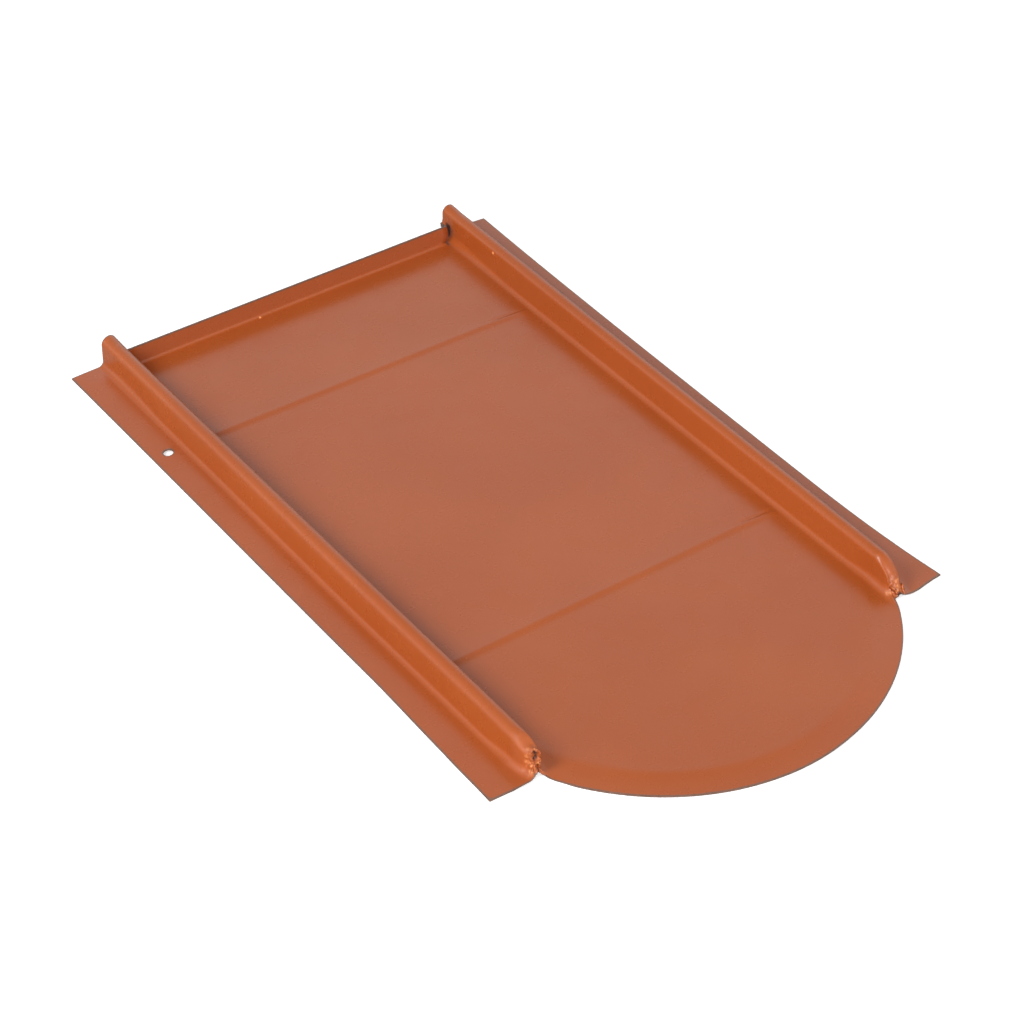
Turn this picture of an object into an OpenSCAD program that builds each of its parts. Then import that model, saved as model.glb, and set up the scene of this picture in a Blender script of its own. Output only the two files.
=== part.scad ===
// One-piece pressed sheet-steel replacement tile for a beaver-tail roof.
// Millimetres. X runs across the sheet, +Y up the roof to the head edge,
// +Z to the weather side. The sheet lies on its flange edges and on the edge of
// its tail, at z = 0, with its middle on the origin. The modules below work from
// the head edge, and tile_sheet() moves the finished sheet to its place.

/* [Sheet outline] */
// overall length, head edge to tip of the tail
overall_l = 381; // [370:1:395]
// length of the side flanges
flange_l = 326.5; // [322:0.5:331]
// overall width, over the tail corners of the flanges
overall_w = 232; // [224:0.5:240]
// width of a flange at its tail corner, from the foot of the rib
flange_w = 15.1; // [12:0.1:18]
// how far each side draws in at its narrowest
waist_in = 2.8; // [1:0.1:4]
// how far each side draws in at the head edge
head_in = 2.1; // [0.5:0.1:4]
// radius of the rounded tail
tail_r = 103.9; // [100:0.1:108]
// gauge of the painted sheet
sheet_t = 0.8; // [0.6:0.1:1]
// how far the pan and the feet of the ribs stand above the outer edges
lift = 0.85; // [0.5:0.05:1.2]
// width of the rim that turns down round the tail
rim_w = 12.5; // [8:0.5:16]

/* [Side ribs] */
// width over a rib's walls
rib_w = 7.3; // [6:0.1:9]
// height of a rib over the underside
rib_h = 16.6; // [13:0.2:20]
// bend radius where the sheet turns up into a rib
bend_r = 3.5; // [2.5:0.25:4.5]
// radius of the rounded nose that ends a rib
nose_r = 11; // [8:0.5:13]
// height of the arch that stays open at the foot of a nose
arch_h = 4; // [3:0.25:5]

/* [Head upstand] */
// height of the water stop at the head
upstand_h = 11.5; // [9:0.25:13]
// how far the water stop stands back from the head edge
upstand_back = 8.7; // [7:0.1:10.5]
// bend radius at the foot of the water stop
foot_r = 1.5; // [1:0.25:3]
// clearance between the water stop and a rib
upstand_gap = 0.9; // [0.6:0.1:1.6]

/* [Cross creases] */
// distance of the upper crease from the head edge
crease_a = 72.8; // [60:0.2:90]
// distance of the lower crease from the head edge
crease_b = 253.5; // [230:0.5:270]
// how far a crease stands out of the sheet
crease_h = 0.3; // [0.2:0.05:0.8]
// width of a crease
crease_w = 2.8; // [2:0.1:5]

/* [Nail holes] */
// bore of a nail hole
hole_d = 4.5; // [3:0.1:6]
// distance of a nail hole from the foot of the rib
hole_out = 5.3; // [4:0.1:7]
// distance of a nail hole from the head edge
hole_y = 71.8; // [40:0.2:120]

/* [Hidden] */
$fn = 96;
flange_x = overall_w / 2 - flange_w;
rib_r = rib_w / 2;
rib_out = flange_x - bend_r;
rib_x = rib_out - rib_r;
rib_in = rib_x - rib_r;
crown_z = rib_h - rib_r;
top_z = lift + sheet_t;
bend_z = top_z + bend_r;
pan_half = rib_in - bend_r;
droop = atan(lift / flange_w);
hole_x = flange_x + hole_out;
hole_z = lift * (flange_w - hole_out) / flange_w;
tail_cy = overall_l - tail_r;
tail_join = tail_cy + 10;
nose_y = flange_l - nose_r;
crease_r = (crease_w * crease_w / 4 + crease_h * crease_h) / (2 * crease_h);
edge_steps = 20;

// half width of the sheet at a distance d from the head edge
function half_w(d) =
  let (u = d / flange_l, v = max(0, (u - 0.7) / 0.3))
  overall_w / 2 - head_in * (1 - u) * (1 - u) - waist_in * u * (2 - u) + waist_in * v * v;

// outline of the flanged part of the sheet, seen from above
module flange_outline() {
  polygon(concat(
    [for (i = [0:edge_steps]) let (d = flange_l * i / edge_steps) [half_w(d), -d]],
    [for (i = [edge_steps:-1:0]) let (d = flange_l * i / edge_steps) [-half_w(d), -d]]
  ));
}

// quarter of a bend: the sheet turns up from the flat at x = cx, to the left or right
module bend(cx, side) {
  intersection() {
    difference() {
      translate([cx, bend_z]) circle(bend_r + sheet_t);
      translate([cx, bend_z]) circle(bend_r);
    }
    translate([side > 0 ? cx : cx - bend_r - sheet_t, bend_z - bend_r - sheet_t])
      square([bend_r + sheet_t, bend_r + sheet_t]);
  }
}

// solid body of a rib, drawn in by g on every side, with its rounded nose
module rib_body(g) {
  intersection() {
    rotate([90, 0, 0]) linear_extrude(height = flange_l - g) {
      translate([rib_in + g, -1]) square([rib_w - 2 * g, crown_z + 1]);
      translate([rib_x, crown_z]) circle(rib_r - g);
    }
    union() {
      translate([rib_in - 1, -nose_y, -2]) cube([rib_w + 2, nose_y + 1, rib_h + 4]);
      translate([rib_in - 1, -nose_y, rib_h - nose_r]) rotate([0, 90, 0])
        cylinder(r = nose_r - g, h = rib_w + 2);
      translate([rib_in - 1, -flange_l + g, -2])
        cube([rib_w + 2, nose_r - g, rib_h - nose_r + 2]);
    }
  }
}

// rib on the +X side: walls, crown and nose over the bends at its foot
module rib() {
  difference() {
    rib_body(0);
    translate([0, 1, 0]) rib_body(sheet_t);
    // the walls end in the bends, and under the nose an arch stays open
    translate([rib_in - 1, -flange_l + sheet_t, -3]) cube([rib_w + 2, flange_l, bend_z + 3]);
    translate([rib_in - 1, -flange_l - 1, -3]) cube([rib_w + 2, 2, arch_h + 3]);
  }
  rotate([90, 0, 0]) linear_extrude(height = flange_l) {
    bend(pan_half, 1);
    bend(flange_x, -1);
  }
  // past the nose the inner bend runs out to the rounded edge of the tail
  intersection() {
    translate([0, -flange_l + 1, 0]) rotate([90, 0, 0]) linear_extrude(height = 16)
      bend(pan_half, 1);
    translate([0, -tail_cy, -1]) cylinder(r = tail_r, h = rib_h);
    translate([pan_half - 1, -flange_l - 16, -1]) cube([bend_r * 0.75 + 1, 18, rib_h]);
  }
}

// flange on the +X side, drooping from the foot of the rib to its edge
module flange() {
  intersection() {
    translate([0, 0, -1]) linear_extrude(height = lift + sheet_t + 2) flange_outline();
    rotate([90, 0, 0]) linear_extrude(height = flange_l)
      polygon([[flange_x - 0.01, lift], [overall_w / 2, 0], [overall_w / 2, sheet_t],
               [flange_x - 0.01, top_z]]);
  }
}

// pan between the ribs, and the rounded tail with its rim turned down
module pan() {
  half = pan_half + 0.01;
  translate([-half, -tail_join, lift])
    cube([2 * half, tail_join - upstand_back - foot_r, sheet_t]);
  intersection() {
    translate([0, -tail_cy, 0]) rotate_extrude()
      polygon([[0, lift], [tail_r - rim_w, lift], [tail_r, 0], [tail_r, sheet_t],
               [tail_r - rim_w, top_z], [0, top_z]]);
    translate([-half, -overall_l - 1, -1]) cube([2 * half, overall_l - tail_join + 2, top_z + 2]);
  }
}

// water stop at the head with the bend at its foot, its ends rounded to clear the ribs
module upstand() {
  half = rib_in - upstand_gap;
  cy = -upstand_back - foot_r;
  cz = top_z + foot_r;
  intersection() {
    translate([-half, 0, 0]) rotate([90, 0, 90]) linear_extrude(height = 2 * half) {
      translate([-upstand_back, cz]) square([sheet_t, upstand_h - cz]);
      intersection() {
        difference() {
          translate([cy, cz]) circle(foot_r + sheet_t);
          translate([cy, cz]) circle(foot_r);
        }
        translate([cy, lift]) square([foot_r + sheet_t, foot_r + sheet_t]);
      }
    }
    rotate([90, 0, 0]) linear_extrude(height = upstand_back + foot_r + 1) {
      translate([-pan_half - 0.01, 0]) square([2 * pan_half + 0.02, upstand_h]);
      translate([-half, bend_z]) square([2 * half, upstand_h]);
      for (s = [-1, 1]) translate([s * pan_half, bend_z]) circle(half - pan_half);
    }
  }
}

// shallow crease across the pan at a distance d from the head edge
module crease(d) {
  translate([-pan_half, -d, lift]) rotate([90, 0, 90]) linear_extrude(height = 2 * pan_half)
    intersection() {
      translate([0, sheet_t + crease_h - crease_r]) circle(crease_r);
      translate([-crease_w, sheet_t / 2]) square([2 * crease_w, sheet_t]);
    }
}

// corners of the bends cut away at the head edge, and the nail holes
module cutouts() {
  for (s = [0, 1]) mirror([s, 0, 0]) {
    translate([pan_half - 1, -bend_z, lift]) rotate([45, 0, 0]) translate([0, -1, -12])
      cube([bend_r + 1 + sheet_t, 16, 12]);
    translate([hole_x, -hole_y, hole_z]) rotate([0, droop, 0]) translate([0, 0, -2])
      cylinder(d = hole_d, h = sheet_t + 4);
  }
}

module tile_sheet() {
  color([0.69, 0.33, 0.2])
  translate([0, overall_l / 2, 0])
  difference() {
    union() {
      for (s = [0, 1]) mirror([s, 0, 0]) {
        flange();
        rib();
      }
      pan();
      upstand();
      crease(crease_a);
      crease(crease_b);
    }
    cutouts();
  }
}

tile_sheet();
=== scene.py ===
"""Looks of the one-piece beaver-tail metal roofing sheet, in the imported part's frame."""
import math

import bmesh
import bpy
import numpy as np
from mathutils import Matrix, Vector, noise
from mathutils.kdtree import KDTree


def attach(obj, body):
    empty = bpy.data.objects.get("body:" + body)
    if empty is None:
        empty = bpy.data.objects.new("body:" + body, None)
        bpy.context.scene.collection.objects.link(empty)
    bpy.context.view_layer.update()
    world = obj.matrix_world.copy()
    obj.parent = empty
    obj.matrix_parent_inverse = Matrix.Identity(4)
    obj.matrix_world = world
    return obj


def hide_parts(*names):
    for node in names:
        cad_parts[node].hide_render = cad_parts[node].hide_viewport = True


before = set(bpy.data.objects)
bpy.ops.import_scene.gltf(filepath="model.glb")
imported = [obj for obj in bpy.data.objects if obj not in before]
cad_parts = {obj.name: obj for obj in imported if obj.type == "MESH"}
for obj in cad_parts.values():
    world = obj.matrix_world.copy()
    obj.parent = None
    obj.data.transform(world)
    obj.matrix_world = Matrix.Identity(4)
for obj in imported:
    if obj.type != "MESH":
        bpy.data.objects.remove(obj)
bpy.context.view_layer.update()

# ---------------------------------------------------------------- dimensions
# In millimetres, from the head edge (y = 0) toward the tail (y negative), as in the part's source.
# A pair keyed -1 and 1 is for the left side (x < 0) and the right side.
OVERALL = 381.0
FLANGE_L = 326.5
HALF_MAX = 116.0
HALF_WAIST = {-1: 113.75, 1: 112.0}  # half width where the flanges are narrowest
FLARE_Y = 245.0   # they widen to their corners from this distance behind the head edge
TAIL_A, TAIL_B, TAIL_CX = 103.9, 106.0, -0.9   # the tail is a little longer than round
TAIL_CY = -(OVERALL - TAIL_B)
SWELL, NOTCH = 0.75, 2.2   # its swell on the right, and how much deeper it is cut under the left nose
GAUGE = 0.8
LIFT = 0.85       # the pan and the feet of the ribs stand this much above the outer edges
BASE = GAUGE + LIFT   # top of the pan
RIB_X, RIB_HALF, RIB_H = {-1: 93.75, 1: 93.45}, {-1: 3.65, 1: 3.35}, 16.2
RIB_FALL, RIB_RISE = 0.5, 0.4   # how far the ribs fall toward the tail and rise at the head edge
LEAN, SLIM = (0.15, 0.5, 0.25), 0.25   # how far the right rib leans in, and the left one slims
BEND_R, TIGHTER = 3.5, 0.3      # the foot bends, and the share by which the visible ones are tighter
CUT_BACK, CUT_H, CUT_OUT = 4.2, 4.2, 1.3   # how the foot of the inner wall is cut away at the very head
UP_H, UP_BACK, FOOT_R = 11.5, 8.7, 1.5   # the water stop: its top, its distance from the head, its bend
TURN_BACK = 4.5   # how far its right end turns back along the rib
CREASES = ((72.8, -0.8), (253.5, 0.35))  # distance from the head edge, skew over the half width
CREASE_H, CREASE_RUN, CREASE_FADE = 0.5, 5.0, 7.0   # height, length of the steep side and the other
GROOVE = 0.26     # depth of the groove beside the right end of a crease
RIM_W, RIM_RIDGE = 12.5, 0.05   # width of the turned-down rim, height of the ridge inside it
HOLE_D, HOLE_X, HOLE_Y = 4.5, 106.2, 71.8
HOLE_SHIFT = 0.8  # the right one stands in line with the right rib, which leans in a little
HOLE_SQUARE, HOLE_REACH = 3.3, 4.6   # the faces that a hole takes, and the points round them
NOSE_Y = -296.0   # tailward of here the rows fan out to the rounded tail
TURN_Y = -311.0   # where the noses of the ribs begin
NOSE_END = -325.3 # where they end
Y0 = OVERALL / 2  # the head edge in the frame

# the hammered-in rib ends: height, middle and inner and outer bend where the arch opens
ARCH = {-1: (2.7, 93.0, 2.0, 4.0), 1: (2.3, 93.4, 3.2, 4.4)}
PINCHED_HALF = {-1: 0.7, 1: 1.0}   # half width of the pinched ends
# the left nose is dented and then drops steeply: (y, height below the crown)
LEFT_NOSE = ((-311.0, 0.0), (-314.0, 0.3), (-316.0, 1.1), (-317.6, 2.1), (-319.2, 2.9), (-320.6, 2.7),
             (-321.8, 2.3), (-322.8, 2.9), (-323.4, 4.3), (-323.9, 6.4), (-324.5, 9.6), (-325.3, 13.1))
WORKED_Y, WORKED_X = -313, (86, 100.5)   # where the noses may be crumpled
THINNED = 0.65    # the most of its gauge, as a share, that the sheet loses where it is hammered
UNDERSIDE = 0.6   # how strong the marks are on the underside

# the deep folds in the left nose, dented in, and the mouth of the arch under the right one; both are
# painted dark as shade
PITS = ((-93.0, -323.1, 11.3), (-92.3, -323.2, 10.4), (-93.4, -323.6, 8.5), (-92.6, -323.6, 9.1))
PIT_R, PIT_D = 0.6, 1.0
MOUTH, MOUTH_R = (92.4, -326.6, 2.1), 0.8
# painted glints on the folds of both noses, where the coat is also rubbed bright
RUBBED_GLINTS = ((-94.9, -320.9, 12.4), (-92.5, -322.8, 12.0), (-95.9, -321.6, 9.3), (-95.3, -321.3, 6.3),
          (-92.4, -324.7, 6.5), (-94.6, -322.7, 6.3), (-94.9, -323.8, 5.7), (-94.2, -324.9, 4.5),
          (-95.1, -324.6, 2.5), (92.4, -323.5, 6.6), (92.7, -324.6, 5.1), (91.7, -325.7, 3.6),
          (88.2, -323.1, 2.2), (89.1, -324.2, 2.6))
RUBBED_GLINT_R = 0.62
MARKS = ("strain_and_glint", "shade", "matte", "paler")   # what each point of the sheet tells its paint


def smooth(a, b, x):
    """0 on a's side, 1 on b's side, and an even curve between them"""
    t = np.clip((np.asarray(x, float) - a) / (b - a), 0.0, 1.0)
    return t * t * (3 - 2 * t)


def bell(x, middle, width):
    return np.exp(-((x - middle) / width) ** 2)


def spot(points, centre, radius):
    """1 at the centre, fading within the radius"""
    return bell(np.linalg.norm(points - centre, axis=1), 0.0, radius)


def half_width(d, sign):
    """half width of the sheet; the left flange bows a little out, the right one in"""
    flare = np.maximum(0.0, (d - FLARE_Y) / (FLANGE_L - FLARE_Y))
    if sign < 0:
        bulge = 0.45 * smooth(FLARE_Y, 280, d) * (1 - smooth(300, 326, d))
        return np.minimum(HALF_MAX, HALF_WAIST[-1] + 0.6 * smooth(0, 240, d) + 1.7 * flare ** 2 + bulge)
    return np.minimum(HALF_MAX, HALF_WAIST[1] + 2.5 * np.exp(-d / 75.0) + 4.0 * flare ** 2.3)


# ---------------------------------------------------------------- rows and columns
N_UP_WALL, N_UP_FOOT = 7, 7
N_HEAD = N_UP_WALL + N_UP_FOOT   # rows that carry the water stop in the pan
N_CROWN, N_TURN = 16, 40         # rows along the last of the crown, and round the nose
# rows between the water stop and the noses, closer together at the creases: (from, to, count)
PLAIN_ROWS = ((-10.5, -66, 16), (-68, -77.6, 25), (-81, -247, 42), (-248.5, -259.5, 28),
              (-262, NOSE_Y, 10))
N_BEND, N_WALL, N_ARC, N_FLANGE = 8, 12, 16, 8   # points of a side's section
N_PAN = 66        # columns of the pan


def stations():
    """y of every row along the ribs"""
    head = UP_BACK + FOOT_R
    ys = [-head * i / (N_HEAD - 1) for i in range(N_HEAD)]
    for start, end, count in PLAIN_ROWS:
        ys += list(np.linspace(start, end, count))
    ys += list(np.linspace(NOSE_Y, TURN_Y, N_CROWN + 1))[1:]
    ys += list(np.linspace(TURN_Y, NOSE_END, N_TURN + 1))[1:]
    return np.array(ys)


YS = stations()
FIRST_TURN = len(YS) - 1 - N_TURN   # the row where the noses begin
N_NOSE = FIRST_TURN - N_CROWN       # the last row that runs straight across


def nose_profile(sign, fine_steps=8, window=13):
    """(y, how far the crown is down, from 0 to 1) of the rows round a nose"""
    if sign > 0:
        t = np.sin(np.linspace(0, math.pi / 2, N_TURN + 1))
        return np.stack([TURN_Y + (NOSE_END - TURN_Y) * t, t * t], 1)
    pts = np.array(LEFT_NOSE)
    run = np.concatenate([[0], np.cumsum(np.hypot(*np.diff(pts, axis=0).T))])
    even = np.linspace(0, run[-1], fine_steps * N_TURN + 1)
    fine = np.stack([np.interp(even, run, pts[:, k]) for k in (0, 1)], 1)
    # its corners are rounded by a running mean
    more = window // 2
    ends = np.concatenate([np.repeat(fine[:1], more, 0), fine, np.repeat(fine[-1:], more, 0)])
    fine = np.stack([np.convolve(ends[:, k], np.ones(window) / window, "valid") for k in (0, 1)], 1)
    fine[-1] = pts[-1]
    return fine[::fine_steps] / (1, pts[-1, 1])


PROFILE = {-1: nose_profile(-1), 1: nose_profile(1)}


def rib_y(i, sign):
    k = i - FIRST_TURN
    return float(PROFILE[sign][k, 0]) if k > 0 else float(YS[i])


def rib_height(i, sign):
    """a rib rises a little at the head edge, falls a little toward the tail, and ends in its nose"""
    y = YS[i]
    h = RIB_H - RIB_FALL * min(1.0, -y / 310) + RIB_RISE * float(smooth(-9, 0, y))
    k = i - FIRST_TURN
    if k > 0:
        h += (ARCH[sign][0] - h) * float(PROFILE[sign][k, 1])
    return h


def rib_form(i, sign):
    """middle, half width, inner bend and outer bend of a rib's section"""
    turn, y = max(0, i - FIRST_TURN) / N_TURN, YS[i]
    pinch = float(smooth(0.1, 0.95, turn)) if sign < 0 else float(smooth(0.35, 1.0, turn))
    _, end_mid, end_in, end_out = ARCH[sign]
    half, mid, bend_out = RIB_HALF[sign], RIB_X[sign], BEND_R
    if sign > 0:
        # the right rib leans in toward the tail
        mid -= LEAN[0] + LEAN[1] * float(smooth(-30, -150, y)) + LEAN[2] * float(smooth(-150, -310, y))
    else:
        # the left one slims toward the tail
        slim = SLIM * float(smooth(-190, -290, y))
        mid, half = mid - slim, half - slim
        bend_out -= 0.9 * float(smooth(-14, 0, y))
    return (mid + (end_mid - mid) * pinch, half - (half - PINCHED_HALF[sign]) * pinch ** 1.1,
            BEND_R + (end_in - BEND_R) * pinch, bend_out + (end_out - BEND_R) * pinch)


def foot_share(y):
    """how tight the visible foot bends are against the full bend: their walls lean out to them"""
    return 1 - TIGHTER * float(smooth(-20, -60, y)) * (1 - float(smooth(-296, -312, y)))


def pan_half(i, sign):
    mid, half, bend_in, _ = rib_form(i, sign)
    return mid - half - bend_in


def tail_swell(x):
    """how far the cut of the tail runs outside its ellipse"""
    return (SWELL * smooth(42, 84, x) * (1 - smooth(87.5, 91, x)) - 0.27 * bell(x, 22, 17)
            + 0.06 * smooth(-22, -38, x) + 0.12 * smooth(-78, -88, x))


def end_y(x):
    """where the sheet ends: the flange ends, or the rounded tail between them"""
    x = np.asarray(x, float)
    ax = np.abs(x)
    round_y = np.sqrt(np.maximum(0.0, 1 - ((x - TAIL_CX) / TAIL_A) ** 2))
    tail = TAIL_CY - TAIL_B * round_y - tail_swell(x) / np.maximum(round_y, 0.3)
    left = -FLANGE_L + 0.6 * smooth(99, 117, ax) + 0.8 * bell(ax, 93.6, 1.8)
    right = -FLANGE_L + 0.2 + 0.4 * smooth(108, 116, ax) - 1.5 * bell(ax, 99.8, 7.0)
    return np.minimum(np.where(x < 0, left, right), tail)


def row_y(i, x):
    """y along row i at x: past NOSE_Y the rows fan out so that the last one is the sheet's end"""
    if i <= N_NOSE:
        return np.full(np.shape(x), YS[i])
    ax = np.abs(x)
    near = smooth(66, 84, ax) * (1 - smooth(98, 102, ax))
    even = (i - N_NOSE) / (N_CROWN + N_TURN)
    along = np.where(np.asarray(x) < 0, rib_y(i, -1), rib_y(i, 1))
    rib = (NOSE_Y - along) / (NOSE_Y - NOSE_END)
    share = even + (rib - even) * near
    # below the left nose the notch is cut a little deeper
    notch = NOTCH * smooth(90.0, 91.0, -np.asarray(x)) * (1 - smooth(91.8, 94.2, -np.asarray(x)))
    return NOSE_Y + share * (end_y(x) - NOSE_Y) + notch * (1 - smooth(3.0, 7.0, rib_height(i, -1)))


def arc(x, z, r, start, turn, n):
    angles = [start + turn * k / n for k in range(n)]
    return [(x + r * math.cos(a), z + r * math.sin(a)) for a in angles]


def line(start, end, n):
    start, end = Vector(start), Vector(end)
    return [tuple(start.lerp(end, k / n)) for k in range(n)]


def side_section(i, sign):
    """top of the sheet from the pan's edge over the rib to the flange's edge, as x (x > 0) and z"""
    mid, half, bend_in, bend_out = rib_form(i, sign)
    foot_in, foot_out, axis_z = mid - half - bend_in, mid + half + bend_out, RIB_H - half
    # the foot bends are tighter than the space they have, so the walls lean out to them
    r_in, r_out = bend_in * foot_share(YS[i]), bend_out * foot_share(YS[i])
    lean_in = math.atan2(bend_in - r_in, axis_z - BASE - r_in)
    lean_out = math.atan2(bend_out - r_out, axis_z - BASE - r_out)
    pts = arc(foot_in, BASE + r_in, r_in, -math.pi / 2, math.pi / 2 - lean_in, N_BEND)
    pts += line((foot_in + r_in * math.cos(lean_in), BASE + r_in - r_in * math.sin(lean_in)),
                (mid - half * math.cos(lean_in), axis_z + half * math.sin(lean_in)), N_WALL)
    pts += arc(mid, axis_z, half, math.pi - lean_in, -(math.pi - lean_in - lean_out), N_ARC)
    pts += line((mid + half * math.cos(lean_out), axis_z + half * math.sin(lean_out)),
                (foot_out - r_out * math.cos(lean_out), BASE + r_out - r_out * math.sin(lean_out)), N_WALL)
    pts += arc(foot_out, BASE + r_out, r_out, math.pi + lean_out, math.pi / 2 - lean_out, N_BEND)
    edge = float(half_width(-float(row_y(i, 110.0)), sign))
    pts += [(foot_out + (edge - foot_out) * k / N_FLANGE, BASE) for k in range(N_FLANGE + 1)]
    x, full_z = np.array(pts).T
    n_in = N_BEND + N_WALL + N_ARC // 2
    bend = np.repeat([bend_in, bend_out], [n_in, len(pts) - n_in])

    # the rib comes down at its nose as a whole, with its bends
    h = rib_height(i, sign)
    up = full_z - BASE
    low = bend * np.minimum(1.0, (h - BASE - 0.4) / bend)   # how high the bends reach
    z = BASE + np.where(up <= bend, up * low / bend,
                        low + (up - bend) * (h - BASE - low) / (RIB_H - BASE - bend))
    if sign > 0:
        # the right nose keeps its round crown, and only the walls below it grow shorter
        round_h = min(half, 0.45 * (h - BASE))
        wall_h = np.maximum(0.0, h - BASE - round_h - low)
        wall = BASE + low + (up - bend) * wall_h / (axis_z - BASE - bend)
        crown = h - (RIB_H - full_z) * round_h / half
        z = np.where(up <= bend, z, np.where(full_z < axis_z, wall, crown))

    # the flange droops to its edge; the right one lies flat beside its nose, and the left one
    # toward the tail and partly at the very head
    droop = LIFT * np.maximum(0.0, (x - foot_out) / (edge - foot_out)) ** 1.15
    flat = float(smooth(313, 325, -rib_y(i, sign)))
    if sign < 0:
        flat = 0.6 * float(smooth(-12, 0, YS[i])) + 0.9 * float(smooth(-60, -240, YS[i]))
    return x, z - droop - flat * smooth(mid - half, mid + half, x) * (LIFT - droop)


def side_block(sign):
    grid = np.zeros((len(YS), len(side_section(0, sign)[0]), 3))
    n_low = N_BEND + N_WALL - 1   # points below the crown on the pan's side
    for i, y in enumerate(YS):
        x, z = side_section(i, sign)
        # the foot of the inner wall is cut away at the very head, where it bends out a little
        if y > -CUT_BACK:
            cut_z = BASE + CUT_H * float(smooth(-CUT_BACK, -2.2, y)) ** 0.6
            new_z = cut_z + (z[n_low - 1] - cut_z) * np.linspace(0, 1, n_low) ** 1.2
            new_x = np.interp(new_z, z[:n_low], x[:n_low])
            new_x -= CUT_OUT * float(smooth(-4.0, 0, y)) * (1 - smooth(5.5, 9.5, new_z))
            x[:n_low], z[:n_low] = new_x, new_z
        grid[i, :, 0] = x * sign
        grid[i, :, 1] = row_y(i, x * sign)
        grid[i, :, 2] = z
    return grid


# how far the water stop reaches at each height; its left end stands close to the rib
STOP_Z = (BASE, 2.4, 4.0, 7.0, 9.0, 10.8, UP_H)
STOP_LEFT = (pan_half(N_HEAD, -1), 87.6, 88.9, 89.4, 89.5, 89.5, 89.4)
STOP_RIGHT = (pan_half(N_HEAD, 1), 86.2, 87.0, 87.4, 87.1, 86.6, 86.3)


def stop_row(i):
    """y and z of a row of the water stop, which goes down its wall and then round its foot"""
    if i < N_UP_WALL:
        return -UP_BACK, UP_H + (BASE + FOOT_R - UP_H) * i / (N_UP_WALL - 1)
    a = math.pi / 2 * (i - N_UP_WALL + 1) / N_UP_FOOT
    return -UP_BACK - FOOT_R + FOOT_R * math.cos(a), BASE + FOOT_R - FOOT_R * math.sin(a)


def pan_block():
    """the pan between the ribs, with the water stop as its first rows"""
    across = np.linspace(-1, 1, N_PAN + 1)
    across = np.sign(across) * (1 - (1 - np.abs(across)) ** 1.18)   # closer together at the ribs
    grid = np.zeros((len(YS), N_PAN + 1, 3))
    for i in range(len(YS)):
        if i < N_HEAD:
            y, z = stop_row(i)
            left, right = (float(np.interp(z, STOP_Z, ends)) for ends in (STOP_LEFT, STOP_RIGHT))
            x = np.where(across < 0, across * left, across * right)
            # its right end turns back along the rib
            free = float(smooth(BASE, BASE + 2.0, z))
            x[-2] += free * (right * 0.9995 - x[-2])
            y = y + free * np.where(across > 0.9999, TURN_BACK, 0.0)
        else:
            z = BASE
            x = np.where(across < 0, across * pan_half(i, -1), across * pan_half(i, 1))
            y = row_y(i, x)
        grid[i, :, 0] = x
        grid[i, :, 1] = y
        grid[i, :, 2] = z
    return grid


def shape_pan(p):
    """creases, rim and lie of the pan, on points (n, 3)"""
    x, y, z = p[:, 0], p[:, 1], p[:, 2]
    lift = np.zeros(len(p))
    for d, skew in CREASES:
        # a crease bends a little toward the tail at its right end
        t = y + d - skew * x / 90 + smooth(62, 84, x)
        rise = np.clip((t + CREASE_RUN) / (CREASE_RUN - 0.3), 0, 1) ** 1.3
        fade = np.exp(-np.maximum(0, t + 0.3) / CREASE_FADE)
        lift += CREASE_H * np.where(t < -0.3, rise * rise * (3 - 2 * rise), fade)
        # near the right rib a short groove runs along its head side
        lift -= GROOVE * smooth(60, 74, x) * bell(t, 0.8, 0.75)
    inside = 1 - smooth(83.0, 86.4, np.abs(x))
    # the rim round the tail turns down to the level of the flange edges
    edge = 1 - np.hypot((x - TAIL_CX) / TAIL_A, (y - TAIL_CY) / TAIL_B)
    edge = np.where(y < TAIL_CY, edge * (TAIL_A + TAIL_B) / 2 + tail_swell(x), TAIL_A)
    fold = np.clip(1 - edge / RIM_W, 0, 1)
    fold = np.where(fold > 0.12, fold - 0.06, fold ** 2 / 0.24) / 0.94
    fold = fold * (1.65 - 0.65 * fold)   # steepest at the fold
    lift += RIM_RIDGE * bell(edge, RIM_W + 0.5, 2.2)
    drop = LIFT * fold * (1 - smooth(0, 3.5, z - BASE)) * (np.abs(x) < 92)
    flat = (np.abs(x) < 89) & (z < BASE + 0.01)
    p[:, 2] += np.where(flat, lift * inside, 0) - drop
    return p


def corner_shade(p):
    """painted shade in the slits beside the water stop: on the ribs' inner walls, and at the foot"""
    x, y, z = np.abs(p[:, 0]), p[:, 1], p[:, 2]
    slit = (smooth(88.6, 88.9, x) * (1 - smooth(90.2, 90.6, x))
            * smooth(-7.0, -6.2, y) * (1 - smooth(-3.4, -2.6, y))
            * smooth(2.2, 3.6, z) * (1 - smooth(8.8, 10.0, z)))
    foot = (0.4 * smooth(85.2, 86.0, x) * (1 - smooth(87.4, 88.0, x)) * (1 - smooth(2.2, 3.2, z))
            * smooth(-10.8, -10.0, y) * (1 - smooth(-7.0, -6.0, y)))
    return np.maximum(slit, foot)


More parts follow.
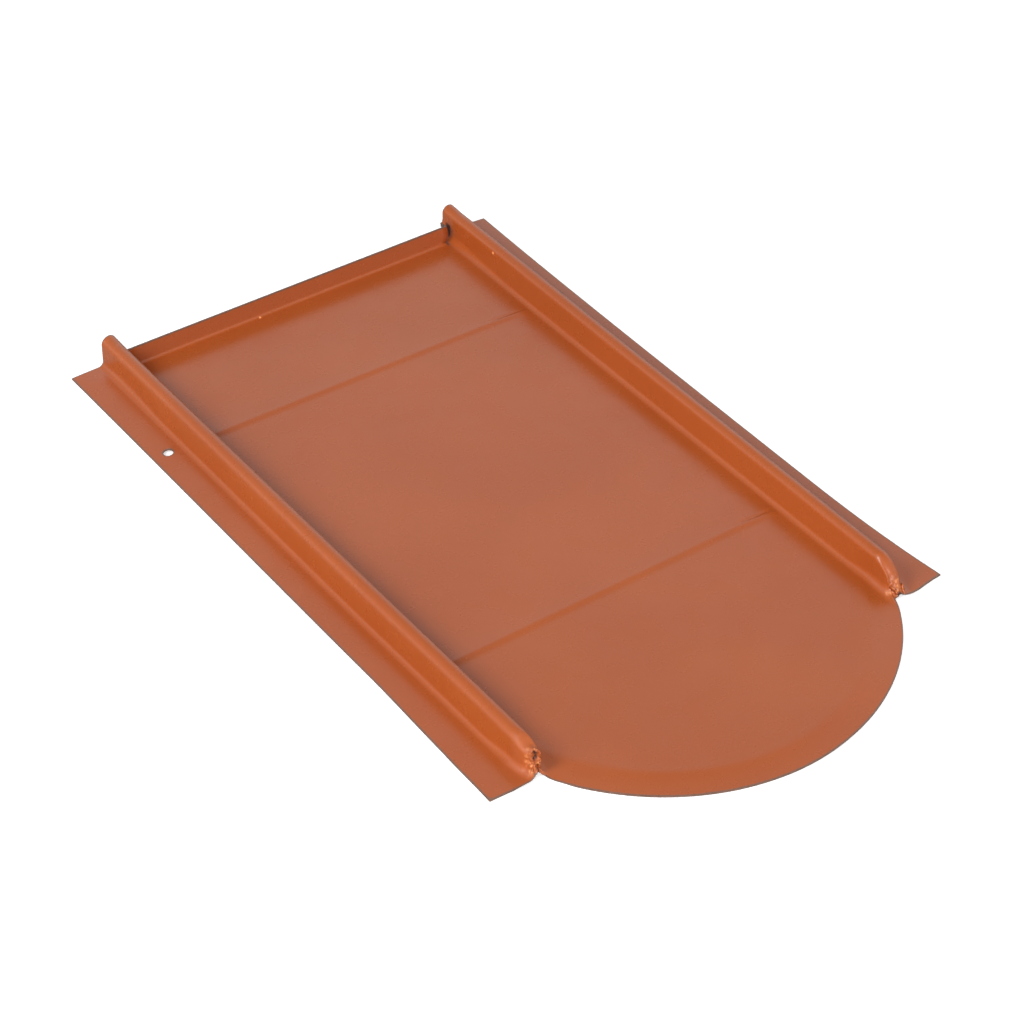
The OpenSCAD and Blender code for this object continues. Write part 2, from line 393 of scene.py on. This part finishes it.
def crumple(p, normals):
    """the hammered folds of both rib noses, as moved points, and the marks of every point"""
    out, strain_and_glint = p.copy(), np.zeros(len(p))
    beyond, ax = p[:, 1] < WORKED_Y, np.abs(p[:, 0])
    for k in np.nonzero(beyond & (ax > WORKED_X[0]) & (ax < WORKED_X[1]))[0]:
        x, y, z = p[k]
        if x < 0:
            weight = float(smooth(-320.0, -322.6, y)) * float(smooth(1.0, 3.0, z))
        else:
            weight = float(smooth(-319.5, -323.5, y)) * float(smooth(0.9, 2.6, z))
        weight *= float(smooth(WORKED_X[1], 97.0, abs(x))) * float(smooth(88.0, 90.0, abs(x)))
        if weight <= 0:
            continue
        place = Vector((x, y * 1.1, z))
        wide = noise.noise(place / 2.3 + Vector((7.3, 1.1, 4.2)))
        crease = 1 - abs(noise.noise(place / 1.5 + Vector((2.9, 8.4, 0.7)))) * 3.2
        small = noise.noise(place / 0.8 + Vector((5.0, 3.0, 9.0)))
        reach = 0.9 if x < 0 else 0.55
        move = 0.9 * wide - 0.6 * max(crease, 0.0) + 0.3 * small - 0.35
        out[k] = p[k] + np.array(normals[k]) * reach * weight * move
        # the strained coat, whose lighter specks also stand in for the folds' glints as painted highlights
        worn = noise.noise(place + Vector((1.7, 6.1, 3.3))) + 0.5 * small + 0.2 * wide
        strain_and_glint[k] = 0.4 * weight * float(smooth(0.12, 0.5, worn))
    # painted glints where the folds catch the light, on coat that is also rubbed bright
    for centre in RUBBED_GLINTS:
        strain_and_glint = np.maximum(strain_and_glint, spot(out, centre, RUBBED_GLINT_R) * beyond)
    pit = np.zeros(len(p))
    for centre in PITS:
        pit = np.maximum(pit, spot(out, centre, PIT_R))
    out[:, 1] += PIT_D * pit
    # painted shade in the pits and in the arch's mouth
    deep = np.minimum(1.0, 1.7 * np.maximum(pit, spot(p, MOUTH, MOUTH_R)))
    shade = np.maximum(deep, corner_shade(p))
    worked = smooth(-311, -316, p[:, 1]) * smooth(84, 87, ax) * (1 - smooth(101, 104, ax))
    matte = np.maximum(worked * np.where(p[:, 0] < 0, 0.9, 0.35), shade)
    # the water stop's wall is painted paler and greyer
    paler = (smooth(-UP_BACK - 1.0, -UP_BACK - 0.2, p[:, 1]) * (1 - smooth(85.5, 86.5, ax))
            * smooth(2.4, 3.4, p[:, 2]))
    return out, np.stack([strain_and_glint * (1 - shade), shade, matte, paler], 1)


# ---------------------------------------------------------------- the sheet's mesh
def faces_of(rows, cols, flip, base):
    out = []
    for i in range(rows - 1):
        for j in range(cols - 1):
            a = base + i * cols + j
            quad = (a, a + 1, a + cols + 1, a + cols)
            out.append(quad if flip else quad[::-1])
    return out


def nail_hole(bm, hx, hy):
    """opens a round hole in the flange: a square of faces gives way to two rings"""
    def off(co):
        return max(abs(co.x - hx), abs(co.y - hy))

    gone = [f for f in bm.faces if off(f.calc_center_median()) < HOLE_SQUARE]
    bmesh.ops.delete(bm, geom=gone, context="FACES")
    outer = [v for v in bm.verts if v.is_boundary and off(v.co) < HOLE_REACH]
    outer.sort(key=lambda v: math.atan2(v.co.y - hy, v.co.x - hx))
    rings = [outer]
    for share in (0.55, 1.0):
        ring = []
        for v in outer:
            way = Vector((v.co.x - hx, v.co.y - hy))
            r = way.length + (HOLE_D / 2 - way.length) * share
            unit = way.normalized()
            ring.append(bm.verts.new((hx + unit.x * r, hy + unit.y * r, v.co.z)))
        rings.append(ring)
    n = len(outer)
    for far, near in zip(rings, rings[1:]):
        for k in range(n):
            bm.faces.new((far[k], far[(k + 1) % n], near[(k + 1) % n], near[k]))


def build_sheet():
    """the sheet's weather side as one skin"""
    verts, faces = [], []
    for grid, flip in ((side_block(1), False), (side_block(-1), True), (pan_block(), False)):
        rows, cols = grid.shape[:2]
        faces += faces_of(rows, cols, flip, len(verts))
        verts += [tuple(v) for v in grid.reshape(-1, 3)]
    bm = bmesh.new()
    made = [bm.verts.new(p) for p in shape_pan(np.array(verts))]
    for face in faces:
        bm.faces.new([made[i] for i in face])
    bmesh.ops.remove_doubles(bm, verts=bm.verts, dist=1e-3)
    bm.normal_update()
    moved, marks = crumple(np.array([v.co for v in bm.verts]), [v.normal for v in bm.verts])
    for k, name in enumerate(MARKS):
        layer = bm.verts.layers.float.new(name)
        for v, value in zip(bm.verts, marks[:, k]):
            v[layer] = value
    for v, co in zip(bm.verts, moved):
        v.co = co
    nail_hole(bm, -HOLE_X, -HOLE_Y)
    nail_hole(bm, HOLE_X - HOLE_SHIFT, -HOLE_Y)
    bm.normal_update()
    return bm


def thicken(bm):
    """gives the single skin its gauge: a second skin below it and a wall round every cut edge"""
    bm.verts.ensure_lookup_table()
    bm.verts.index_update()
    top = list(bm.verts)
    matte = bm.verts.layers.float["matte"]   # the sheet is drawn thin where it is hammered
    low = []
    for v in top:
        left_over = 1 - THINNED * v[matte] * (v.co.y < TURN_Y)
        low.append(bm.verts.new(v.co - v.normal * GAUGE * left_over))
    for name in MARKS:
        layer = bm.verts.layers.float[name]
        for a, b in zip(top, low):
            b[layer] = UNDERSIDE * a[layer]
    cuts = []
    for e in bm.edges:
        if len(e.link_faces) != 1:
            continue
        around = list(e.link_faces[0].verts)
        a, b = e.verts
        if around[(around.index(a) + 1) % len(around)] != b:
            a, b = b, a
        cuts.append((a.index, b.index))
        e.smooth = False
    for f in list(bm.faces):
        bm.faces.new([low[v.index] for v in reversed(f.verts)])
    for a, b in cuts:
        wall = bm.faces.new([top[b], top[a], low[a], low[b]])
        wall.material_index = 1
        for e in wall.edges:
            if {e.verts[0], e.verts[1]} in ({top[a], top[b]}, {low[a], low[b]}):
                e.smooth = False
    return bm


def edge_distance(bm, every=0.25, most=10.0):
    """how far each point is from the nearest cut edge, in millimetres"""
    distance = bm.verts.layers.float.new("edge_mm")
    samples = []
    for f in bm.faces:
        if f.material_index == 1:
            for e in f.edges:
                if not e.smooth:
                    a, b = e.verts[0].co, e.verts[1].co
                    n = max(1, int((b - a).length / every))
                    samples += [a.lerp(b, k / n) for k in range(n + 1)]
    tree = KDTree(len(samples))
    for k, p in enumerate(samples):
        tree.insert(p, k)
    tree.balance()
    for v in bm.verts:
        v[distance] = min(most, tree.find(v.co)[2])


bm = thicken(build_sheet())
edge_distance(bm)
for v in bm.verts:
    v.co = Vector((v.co.x, min(v.co.y, 0.0) + Y0, max(v.co.z, 0.0))) * 0.001
mesh = bpy.data.meshes.new("roof_sheet")
bm.normal_update()
bm.to_mesh(mesh)
bm.free()
mesh.shade_smooth()
sheet = bpy.data.objects.new("roof_sheet", mesh)
bpy.context.scene.collection.objects.link(sheet)
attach(sheet, "root")
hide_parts("tile_sheet")


# ---------------------------------------------------------------- node trees
class Tree:
    """short forms for building a node tree"""

    def __init__(self, node_tree):
        self.nt = node_tree

    def new(self, kind, **values):
        n = self.nt.nodes.new(kind)
        for k, v in values.items():
            setattr(n, k, v)
        return n

    def put(self, value, socket):
        if hasattr(value, "is_output"):
            self.nt.links.new(value, socket)
        else:
            socket.default_value = value

    def step(self, value, lo, hi, to_lo=0.0, to_hi=1.0, kind="SMOOTHSTEP"):
        n = self.new("ShaderNodeMapRange", interpolation_type=kind)
        self.put(value, n.inputs["Value"])
        for k, v in (("From Min", lo), ("From Max", hi), ("To Min", to_lo), ("To Max", to_hi)):
            n.inputs[k].default_value = v
        return n.outputs["Result"]

    def calc(self, op, *values):
        n = self.new("ShaderNodeMath", operation=op)
        for value, socket in zip(values, n.inputs):
            self.put(value, socket)
        return n.outputs[0]

    def blend(self, share, a, b):
        """a number between a and b"""
        n = self.new("ShaderNodeMix")
        for name, value in (("Factor", share), ("A", a), ("B", b)):
            self.put(value, n.inputs[name])
        return n.outputs["Result"]

    def mix(self, share, a, b):
        """a colour between a and b"""
        n = self.new("ShaderNodeMix", data_type="RGBA")
        self.put(share, n.inputs["Factor"])
        self.put(a, n.inputs[6])
        self.put(b, n.inputs[7])
        return n.outputs[2]


class Paint(Tree):
    """the tree of a material, with what its coats need"""

    def __init__(self, name):
        self.m = bpy.data.materials.new(name)
        self.m.use_nodes = True
        super().__init__(self.m.node_tree)
        self.bsdf = self.nt.nodes["Principled BSDF"]
        self.place = self.new("ShaderNodeTexCoord").outputs["Object"]

    def noise(self, scale, detail=2.0, rough=0.5):
        """the scale is in blotches to the metre"""
        n = self.new("ShaderNodeTexNoise")
        self.put(self.place, n.inputs["Vector"])
        n.inputs["Scale"].default_value = scale
        n.inputs["Detail"].default_value = detail
        n.inputs["Roughness"].default_value = rough
        return n.outputs["Fac"]

    def attribute(self, name):
        return self.new("ShaderNodeAttribute", attribute_name=name).outputs["Fac"]

    def near(self, point, radius):
        """1 within a small spot round a point of the part, in millimetres from the head edge"""
        d = self.new("ShaderNodeVectorMath", operation="DISTANCE")
        self.put(self.place, d.inputs[0])
        d.inputs[1].default_value = (point[0] / 1000, (point[1] + Y0) / 1000, point[2] / 1000)
        return self.step(d.outputs["Value"], radius * 0.6 / 1000, radius / 1000, 1.0, 0.0)


# ---------------------------------------------------------------- materials
COAT = ((0.374, 0.0785, 0.0145, 1), (0.397, 0.0865, 0.0167, 1))   # its darker and lighter clouds
COAT_GRAIN = (0.33, 0.066, 0.012, 1)
WHITENED_AND_GLINT = (0.95, 0.37, 0.14, 1)    # the coat where it is strained or chipped thin, and the painted glints on the noses' folds
PAINTED_SHADE = (0.045, 0.008, 0.002, 1)     # painted shade in the deepest folds and corners
PALER_TONE = (0.39, 0.103, 0.041, 1)     # the paler, greyer tone painted on the water stop's wall
EDGE_TONE = (0.20, 0.095, 0.06, 1)  # the coat thins to the cut edge
CUT = ((0.13, 0.065, 0.042, 1), (0.19, 0.10, 0.07, 1))   # the cut edge itself
CHIPS = (((89.97, -41.5, 13.2), 0.8), ((-19.75, -9.6, 1.8), 0.65))   # place and radius


def paint():
    n = Paint("terracotta_paint")
    cloud = n.step(n.noise(14, 3.0), 0.35, 0.65)
    grain = n.step(n.noise(420, 3.0, 0.6), 0.3, 0.7, 0.0, 0.09)
    tone = n.mix(grain, n.mix(cloud, *COAT), COAT_GRAIN)
    # the water stop's wall is painted paler and greyer
    tone = n.mix(n.calc("MULTIPLY", n.attribute("paler"), 0.6), tone, PALER_TONE)
    # the strained coat and the painted glints of the noses' folds
    speckle = n.step(n.noise(1500, 2.0), 0.38, 0.62, 0.35, 1.0)
    tone = n.mix(n.calc("MULTIPLY", n.attribute("strain_and_glint"), speckle), tone, WHITENED_AND_GLINT)
    for point, radius in CHIPS:
        tone = n.mix(n.near(point, radius), tone, WHITENED_AND_GLINT)
    ragged = n.calc("ADD", n.attribute("edge_mm"), n.step(n.noise(700, 2.0), 0.3, 0.7, -0.12, 0.12))
    tone = n.mix(n.step(ragged, 0.25, 0.8, 1.0, 0.0), tone, EDGE_TONE)
    # painted shade in the pits, the arch's mouth and the slits beside the water stop
    tone = n.mix(n.attribute("shade"), tone, PAINTED_SHADE)
    n.put(tone, n.bsdf.inputs["Base Color"])
    # the hammered noses are duller
    gloss = n.step(n.noise(60, 4.0, 0.6), 0.3, 0.7, 0.24, 0.3)
    dull = n.calc("MULTIPLY", n.attribute("matte"), 0.3)
    n.put(n.calc("ADD", gloss, dull), n.bsdf.inputs["Roughness"])
    n.bsdf.inputs["Specular IOR Level"].default_value = 0.5
    bump = n.new("ShaderNodeBump")
    bump.inputs["Strength"].default_value = 0.15
    bump.inputs["Distance"].default_value = 0.00002
    n.put(n.noise(380, 2.0), bump.inputs["Height"])
    n.put(bump.outputs[0], n.bsdf.inputs["Normal"])
    return n.m


def cut_edge():
    n = Paint("cut_edge")
    n.put(n.mix(n.step(n.noise(500, 3.0, 0.6), 0.35, 0.65), *CUT), n.bsdf.inputs["Base Color"])
    n.put(n.step(n.noise(900, 2.0), 0.3, 0.7, 0.45, 0.65), n.bsdf.inputs["Roughness"])
    n.bsdf.inputs["Specular IOR Level"].default_value = 0.35
    return n.m


mesh.materials.append(paint())
mesh.materials.append(cut_edge())

# ---------------------------------------------------------------- floor, light, camera
SKY = 0.405  # what the room gives to matt surfaces
# what the room gives to gloss: (height, level), the height from the horizon (0) to straight up (1)
GLOSS = ((0.0, 0.60), (0.2, 0.60), (0.5, 0.62), (0.67, 0.66), (0.75, 0.4), (0.82, 0.25), (1.0, 0.2))
STRIP = 0.85   # what the bright strip adds to it
FLOOR_TONE, FLOOR_TO_GLOSS = (0.9, 0.9, 0.9, 1), (0.25, 0.25, 0.25, 1)
GLOW, GLOW_TO_GLOSS = 0.52, 0.1   # what the floor adds for the camera and for gloss
UNDER_X, UNDER_Y = 97.5, (-322, -1)   # the floor under the pan and the ribs: half width and ends
# name, azimuth from +X, height above the floor (degrees), side of the lamp, watts
LAMPS = (("key", 180, 42, 0.7, 19.6), ("low_left", 180, 20, 0.8, 5.0),
         ("front", 248, 21, 0.8, 27.2), ("right", 0, 36, 0.8, 2.5))
LAMP_AWAY = 2.0
VIEW = (-36.791, 39.315, 1.2126)   # turn, height and roll of the camera, in degrees
AIM, AWAY = (-0.006275, (Y0 - 189.4618) / 1000, 0), 1.259697   # metres
LENS = 103.562


def make_room():
    """white to the camera, and to gloss a bright band round a darker top"""
    world = bpy.data.worlds.new("studio")
    bpy.context.scene.world = world
    world.use_nodes = True
    n = Tree(world.node_tree)
    background = n.nt.nodes["Background"]
    background.inputs["Color"].default_value = (1, 1, 1, 1)
    rays = n.new("ShaderNodeLightPath").outputs
    way = n.new("ShaderNodeSeparateXYZ")
    n.put(n.new("ShaderNodeTexCoord").outputs["Generated"], way.inputs[0])
    ramp = n.new("ShaderNodeValToRGB")
    stops = ramp.color_ramp.elements
    stops[0].position, stops[-1].position = GLOSS[0][0], GLOSS[-1][0]
    for height, _ in GLOSS[1:-1]:
        stops.new(height)
    for stop, (_, level) in zip(stops, GLOSS):
        stop.color = (level, level, level, 1)
    n.put(way.outputs["Z"], ramp.inputs[0])
    # it is brighter on the right
    bright = n.calc("MULTIPLY", ramp.outputs[0], n.step(way.outputs["X"], -0.8, 0.4, 0.6, 2.0, "LINEAR"))
    # a bright strip low on the left draws the line along the crowns
    strip = n.calc("MULTIPLY", n.step(way.outputs["X"], -0.68, -0.35, 1.0, 0.0),
                   n.step(way.outputs["Z"], 0.2, 0.65, 1.0, 0.0))
    total = n.calc("MULTIPLY_ADD", strip, STRIP, bright)
    shiny = n.calc("MAXIMUM", rays["Is Glossy Ray"], rays["Is Transmission Ray"])
    level = n.blend(rays["Is Camera Ray"], n.blend(shiny, SKY, total), 1.0)
    n.put(level, background.inputs["Strength"])


def make_floor(half=6.0):
    """pale, white to the camera, darker to gloss; under the pan and the ribs it doesn't glow"""
    me = bpy.data.meshes.new("studio_floor")
    corners = [(x * half, y * half, 0) for x, y in ((-1, -1), (1, -1), (1, 1), (-1, 1))]
    me.from_pydata(corners, [], [(0, 1, 2, 3)])
    floor = bpy.data.objects.new("studio_floor", me)
    floor.location.z = -0.0004
    bpy.context.scene.collection.objects.link(floor)
    material = bpy.data.materials.new("studio_floor")
    material.use_nodes = True
    n = Tree(material.node_tree)
    n.nt.nodes.remove(n.nt.nodes["Principled BSDF"])
    diffuse, glow = n.new("ShaderNodeBsdfDiffuse"), n.new("ShaderNodeEmission")
    rays = n.new("ShaderNodeLightPath").outputs
    place = n.new("ShaderNodeSeparateXYZ")
    n.put(n.new("ShaderNodeTexCoord").outputs["Object"], place.inputs[0])
    n.put(n.mix(rays["Is Glossy Ray"], FLOOR_TONE, FLOOR_TO_GLOSS), diffuse.inputs["Color"])

    beside = n.calc("GREATER_THAN", n.calc("ABSOLUTE", place.outputs["X"]), UNDER_X / 1000)
    front = n.calc("LESS_THAN", place.outputs["Y"], (Y0 + UNDER_Y[0]) / 1000)
    back = n.calc("GREATER_THAN", place.outputs["Y"], (Y0 + UNDER_Y[1]) / 1000)
    clear = n.calc("MAXIMUM", n.calc("MAXIMUM", beside, front), back)
    shiny = n.calc("MAXIMUM", rays["Is Glossy Ray"], rays["Is Transmission Ray"])
    level = n.calc("ADD", n.calc("MULTIPLY", rays["Is Camera Ray"], GLOW),
                   n.calc("MULTIPLY", shiny, GLOW_TO_GLOSS))
    n.put(n.calc("MULTIPLY", level, clear), glow.inputs["Strength"])
    both = n.new("ShaderNodeAddShader")
    n.put(diffuse.outputs[0], both.inputs[0])
    n.put(glow.outputs[0], both.inputs[1])
    n.put(both.outputs[0], n.nt.nodes["Material Output"].inputs["Surface"])
    me.materials.append(material)


def lamp(name, azimuth, height, size, power):
    light = bpy.data.lights.new(name, "AREA")
    light.shape = "SQUARE"
    light.size = size
    light.energy = power
    o = bpy.data.objects.new(name, light)
    bpy.context.scene.collection.objects.link(o)
    az, el = math.radians(azimuth), math.radians(height)
    way = Vector((math.cos(az) * math.cos(el), math.sin(az) * math.cos(el), math.sin(el)))
    o.location = way * LAMP_AWAY
    o.rotation_euler = way.to_track_quat("Z", "Y").to_euler()


def camera():
    az, el, roll = (math.radians(a) for a in VIEW)
    right = Vector((math.cos(az), math.sin(az), 0))
    back = Vector((math.sin(az) * math.cos(el), -math.cos(az) * math.cos(el), math.sin(el)))
    up = back.cross(right)
    rolled_right = right * math.cos(roll) + up * math.sin(roll)
    rolled_up = up * math.cos(roll) - right * math.sin(roll)
    cam = bpy.data.cameras.new("camera")
    cam.sensor_width = 36.0
    cam.lens = LENS
    o = bpy.data.objects.new("camera", cam)
    bpy.context.scene.collection.objects.link(o)
    turn = Matrix((rolled_right, rolled_up, back)).transposed().to_4x4()
    o.matrix_world = Matrix.Translation(Vector(AIM) + back * AWAY) @ turn
    bpy.context.scene.camera = o


make_room()
make_floor()
for values in LAMPS:
    lamp(*values)
camera()
bpy.context.scene.view_settings.view_transform = "Standard"

bpy.context.view_layer.update()
